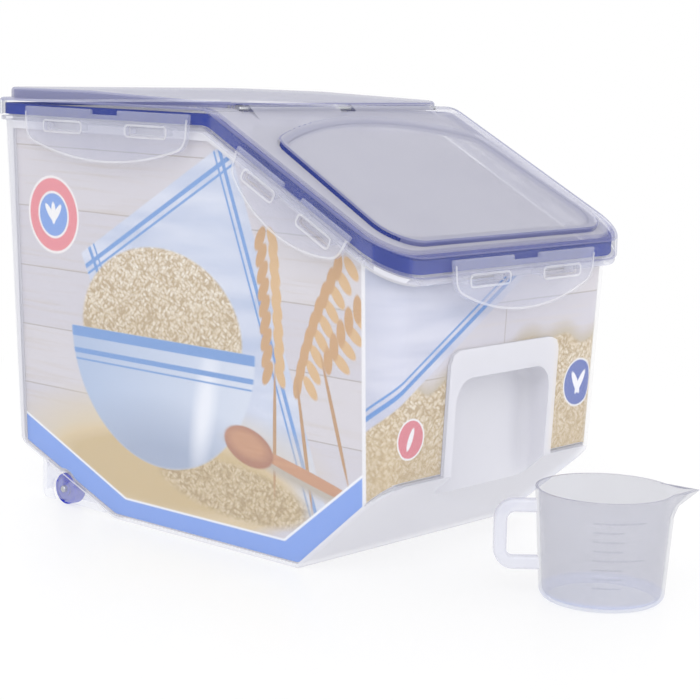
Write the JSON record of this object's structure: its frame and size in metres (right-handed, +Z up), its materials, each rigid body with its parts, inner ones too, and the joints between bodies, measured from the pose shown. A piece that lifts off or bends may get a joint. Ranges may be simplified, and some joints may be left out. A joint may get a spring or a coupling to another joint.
{
  "type": "rice bin with flip lid",
  "caption": "Clear lidded rice bin with a sloping front, hinged flip lid, snap latches, blue seals, rear wheels and a separate measuring cup.",
  "frame": {"origin": "on the floor, under the middle of the tub's width and of the lid's length", "axes": "+Z up, +X to the right seen from the front, +Y from the sloping front to the back"},
  "size_m": [0.2176, 0.4374, 0.2495],
  "materials": {
    "clear_plastic": "gloss",
    "lid_plastic": "satin",
    "latch_plastic": "satin",
    "printed_sheet": "satin",
    "blue_silicone": "satin",
    "blue_plastic": "gloss",
    "axle_steel": "satin"
  },
  "bodies": {
    "tub": {"tub": "clear_plastic", "printed_card": "printed_sheet", "wheel_axle_left": "axle_steel", "wheel_axle_right": "axle_steel"},
    "main_lid": {"main_lid": "lid_plastic", "main_gasket": "blue_silicone", "hinge_pin": "axle_steel"},
    "flip_lid": {"flip_lid": "lid_plastic", "flip_gasket": "blue_silicone"},
    "rear_left_latch": {"rear_left_latch": "latch_plastic"},
    "rear_right_latch": {"rear_right_latch": "latch_plastic"},
    "back_latch": {"back_latch": "latch_plastic"},
    "flip_left_latch": {"flip_left_latch": "latch_plastic"},
    "flip_right_latch": {"flip_right_latch": "latch_plastic"},
    "flip_front_latch": {"flip_front_latch": "latch_plastic"},
    "wheel_left": {"wheel_left": "blue_plastic"},
    "wheel_right": {"wheel_right": "blue_plastic"},
    "measuring_cup": {"measuring_cup": "clear_plastic"}
  },
  "joints": [
    {"name": "main_lid_lift", "type": "slide", "parent": "tub", "child": "main_lid", "axis": [0, 0, 1], "range_m": [0, 0.06]},
    {"name": "flip_lid_hinge", "type": "hinge", "parent": "main_lid", "child": "flip_lid", "pos_m": [0, -0.03175, 0.24275], "axis": [-1, 0, 0], "range_deg": [0, 125]},
    {"name": "rear_left_latch_hinge", "type": "hinge", "parent": "main_lid", "child": "rear_left_latch", "pos_m": [-0.1073, 0.0505, 0.2383], "axis": [0, 1, 0], "range_deg": [0, 130]},
    {"name": "rear_right_latch_hinge", "type": "hinge", "parent": "main_lid", "child": "rear_right_latch", "pos_m": [0.1073, 0.0505, 0.2383], "axis": [0, -1, 0], "range_deg": [0, 130]},
    {"name": "back_latch_hinge", "type": "hinge", "parent": "main_lid", "child": "back_latch", "pos_m": [0, 0.1663, 0.2383], "axis": [1, 0, 0], "range_deg": [0, 130]},
    {"name": "flip_left_latch_hinge", "type": "hinge", "parent": "flip_lid", "child": "flip_left_latch", "pos_m": [-0.1073, -0.09681, 0.20303], "axis": [0, 0.8895, 0.457], "range_deg": [0, 130]},
    {"name": "flip_right_latch_hinge", "type": "hinge", "parent": "flip_lid", "child": "flip_right_latch", "pos_m": [0.1073, -0.09681, 0.20303], "axis": [0, -0.8895, -0.457], "range_deg": [0, 130]},
    {"name": "flip_front_latch_hinge", "type": "hinge", "parent": "flip_lid", "child": "flip_front_latch", "pos_m": [0, -0.1663, 0.1703], "axis": [-1, 0, 0], "range_deg": [0, 130]},
    {"name": "wheel_left_spin", "type": "hinge", "parent": "tub", "child": "wheel_left", "pos_m": [-0.08505, 0.106, 0.01], "axis": [1, 0, 0], "continuous": true},
    {"name": "wheel_right_spin", "type": "hinge", "parent": "tub", "child": "wheel_right", "pos_m": [0.08505, 0.106, 0.01], "axis": [1, 0, 0], "continuous": true},
    {"name": "measuring_cup_lift", "type": "slide", "parent": "tub", "child": "measuring_cup", "axis": [0, 0, 1], "range_m": [0, 0.1]}
  ]
}
